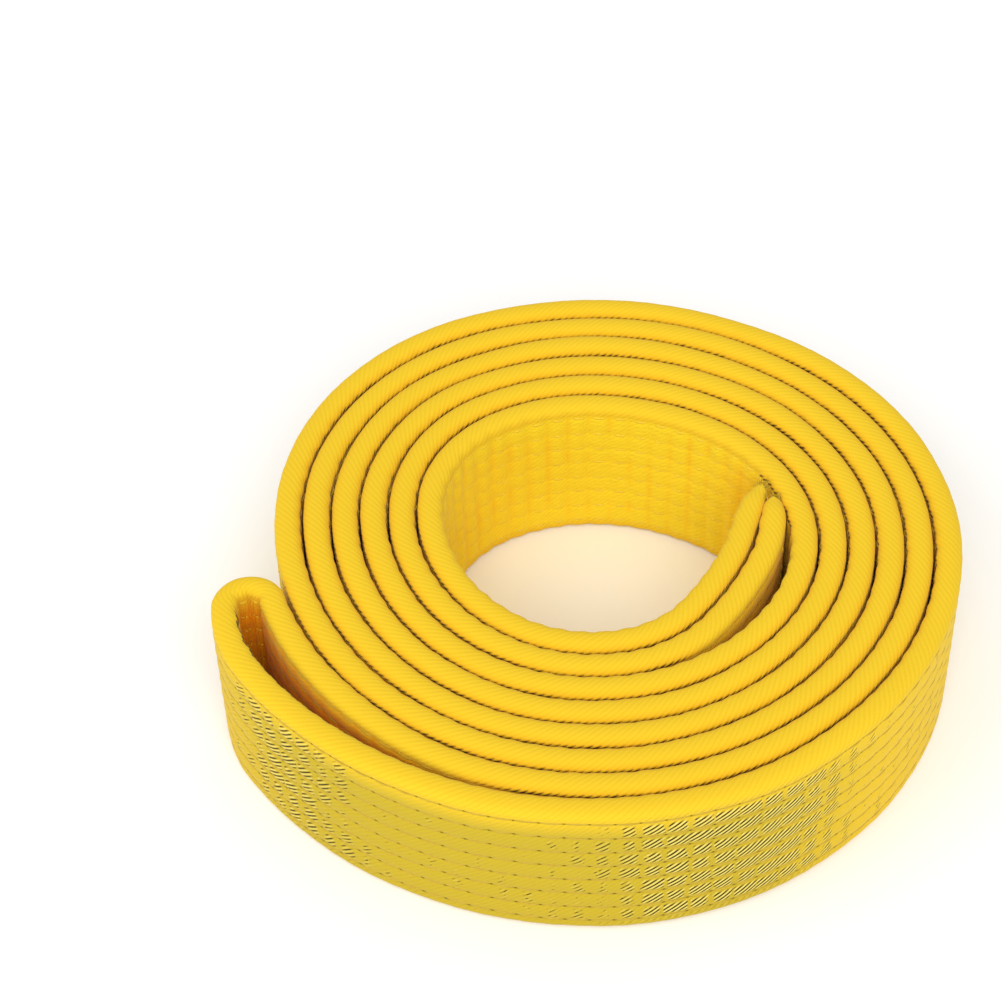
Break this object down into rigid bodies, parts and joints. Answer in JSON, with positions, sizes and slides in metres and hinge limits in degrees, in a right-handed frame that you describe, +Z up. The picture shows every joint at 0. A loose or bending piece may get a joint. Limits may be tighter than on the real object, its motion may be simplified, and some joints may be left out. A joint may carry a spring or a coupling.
{
  "type": "martial arts belt",
  "caption": "Long flat quilted cotton belt, folded in half and rolled up on its edge, with rows of stitching along it and a small loop at the fold.",
  "frame": {"origin": "middle of the rolled belt's footprint, on the surface that it stands on", "axes": "+Z up along the roll's axis, -Y towards the front, with the fold's loop at the left front"},
  "size_m": [0.162, 0.1508, 0.04],
  "materials": {
    "sleeve_twill": "yellow cotton twill",
    "core_felt": "off-white felt",
    "stitch_thread": "yellow polyester thread"
  },
  "bodies": {
    "root": {"outer_sleeve": "sleeve_twill", "core_ply_1": "core_felt", "core_ply_2": "core_felt", "core_ply_3": "core_felt", "core_ply_4": "core_felt", "needle_thread_row_1": "stitch_thread", "bobbin_thread_row_1": "stitch_thread", "needle_thread_row_2": "stitch_thread", "bobbin_thread_row_2": "stitch_thread", "needle_thread_row_3": "stitch_thread", "bobbin_thread_row_3": "stitch_thread", "needle_thread_row_4": "stitch_thread", "bobbin_thread_row_4": "stitch_thread", "needle_thread_row_5": "stitch_thread", "bobbin_thread_row_5": "stitch_thread", "needle_thread_row_6": "stitch_thread", "bobbin_thread_row_6": "stitch_thread", "needle_thread_row_7": "stitch_thread", "bobbin_thread_row_7": "stitch_thread", "needle_thread_row_8": "stitch_thread", "bobbin_thread_row_8": "stitch_thread", "inner_end_seam_needle_thread": "stitch_thread", "inner_end_seam_bobbin_thread": "stitch_thread", "outer_end_seam_needle_thread": "stitch_thread", "outer_end_seam_bobbin_thread": "stitch_thread"}
  },
  "joints": []
}
